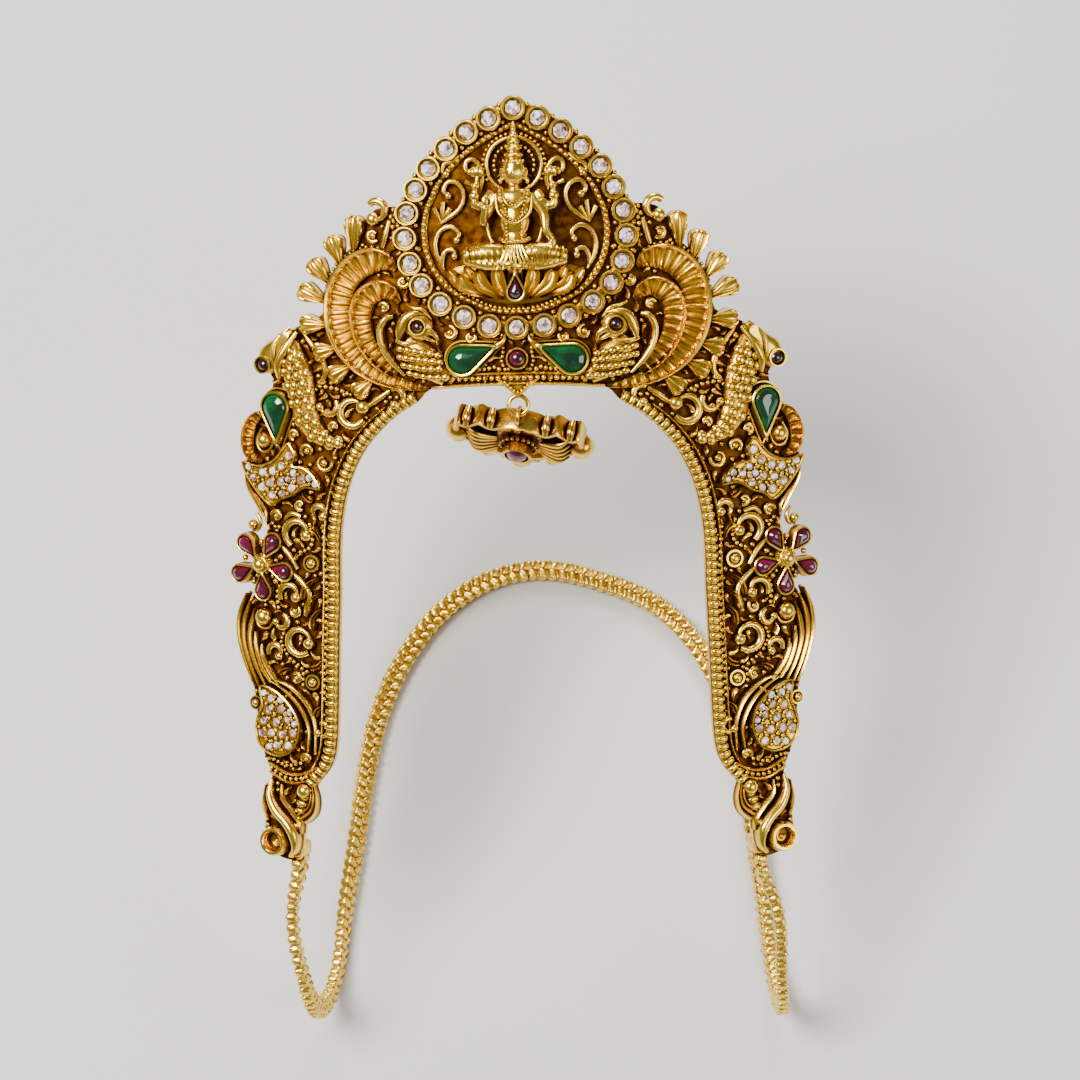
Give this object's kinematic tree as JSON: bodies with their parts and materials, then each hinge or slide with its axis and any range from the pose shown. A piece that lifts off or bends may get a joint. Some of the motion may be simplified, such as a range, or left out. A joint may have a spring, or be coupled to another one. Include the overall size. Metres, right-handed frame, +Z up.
{
  "type": "upper-arm armlet",
  "caption": "Curved cast arm ornament with stone-set relief, a woven chain behind and a hanging drop.",
  "frame": {"origin": "centre of the footprint, on the surface it rests on", "axes": "+Z up, the arched plate's legs point to -Y and its crown to +Y, +X to the right as seen from the legs"},
  "size_m": [0.0782, 0.1014, 0.0871],
  "materials": {
    "antique_gold": "cast, antique gold plated, oxidised recesses",
    "pale_gold": "woven wire, matte gold plated",
    "dark_gold": "cast, antique gold plated",
    "green_glass": "polished cabochon",
    "garnet_glass": "polished cabochon",
    "ruby_glass": "polished cabochon",
    "white_stone": "cut and polished"
  },
  "bodies": {
    "armlet": {"bridge_emerald_left": "green_glass", "bridge_emerald_right": "green_glass", "bridge_ruby": "ruby_glass", "chain_band": "pale_gold", "fish_eye_left": "garnet_glass", "fish_eye_right": "garnet_glass", "flower_ruby_left_1": "ruby_glass", "flower_ruby_left_2": "ruby_glass", "flower_ruby_left_3": "ruby_glass", "flower_ruby_left_4": "ruby_glass", "flower_ruby_left_5": "ruby_glass", "flower_ruby_right_1": "ruby_glass", "flower_ruby_right_2": "ruby_glass", "flower_ruby_right_3": "ruby_glass", "flower_ruby_right_4": "ruby_glass", "flower_ruby_right_5": "ruby_glass", "front_plate": "antique_gold", "halo_stones": "white_stone", "leaf_stones_left": "white_stone", "leaf_stones_right": "white_stone", "lotus_garnet": "garnet_glass", "paisley_stones_left": "white_stone", "paisley_stones_right": "white_stone", "peacock_eye_left": "garnet_glass", "peacock_eye_right": "garnet_glass", "shoulder_emerald_left": "green_glass", "shoulder_emerald_right": "green_glass"},
    "pendant": {"pendant_body": "dark_gold", "pendant_stone": "ruby_glass"}
  },
  "joints": [
    {"name": "pendant_swing", "type": "hinge", "parent": "armlet", "child": "pendant", "pos_m": [0, 0.01453, 0.06516], "axis": [1, 0, 0], "range_deg": [-90, 40]}
  ]
}
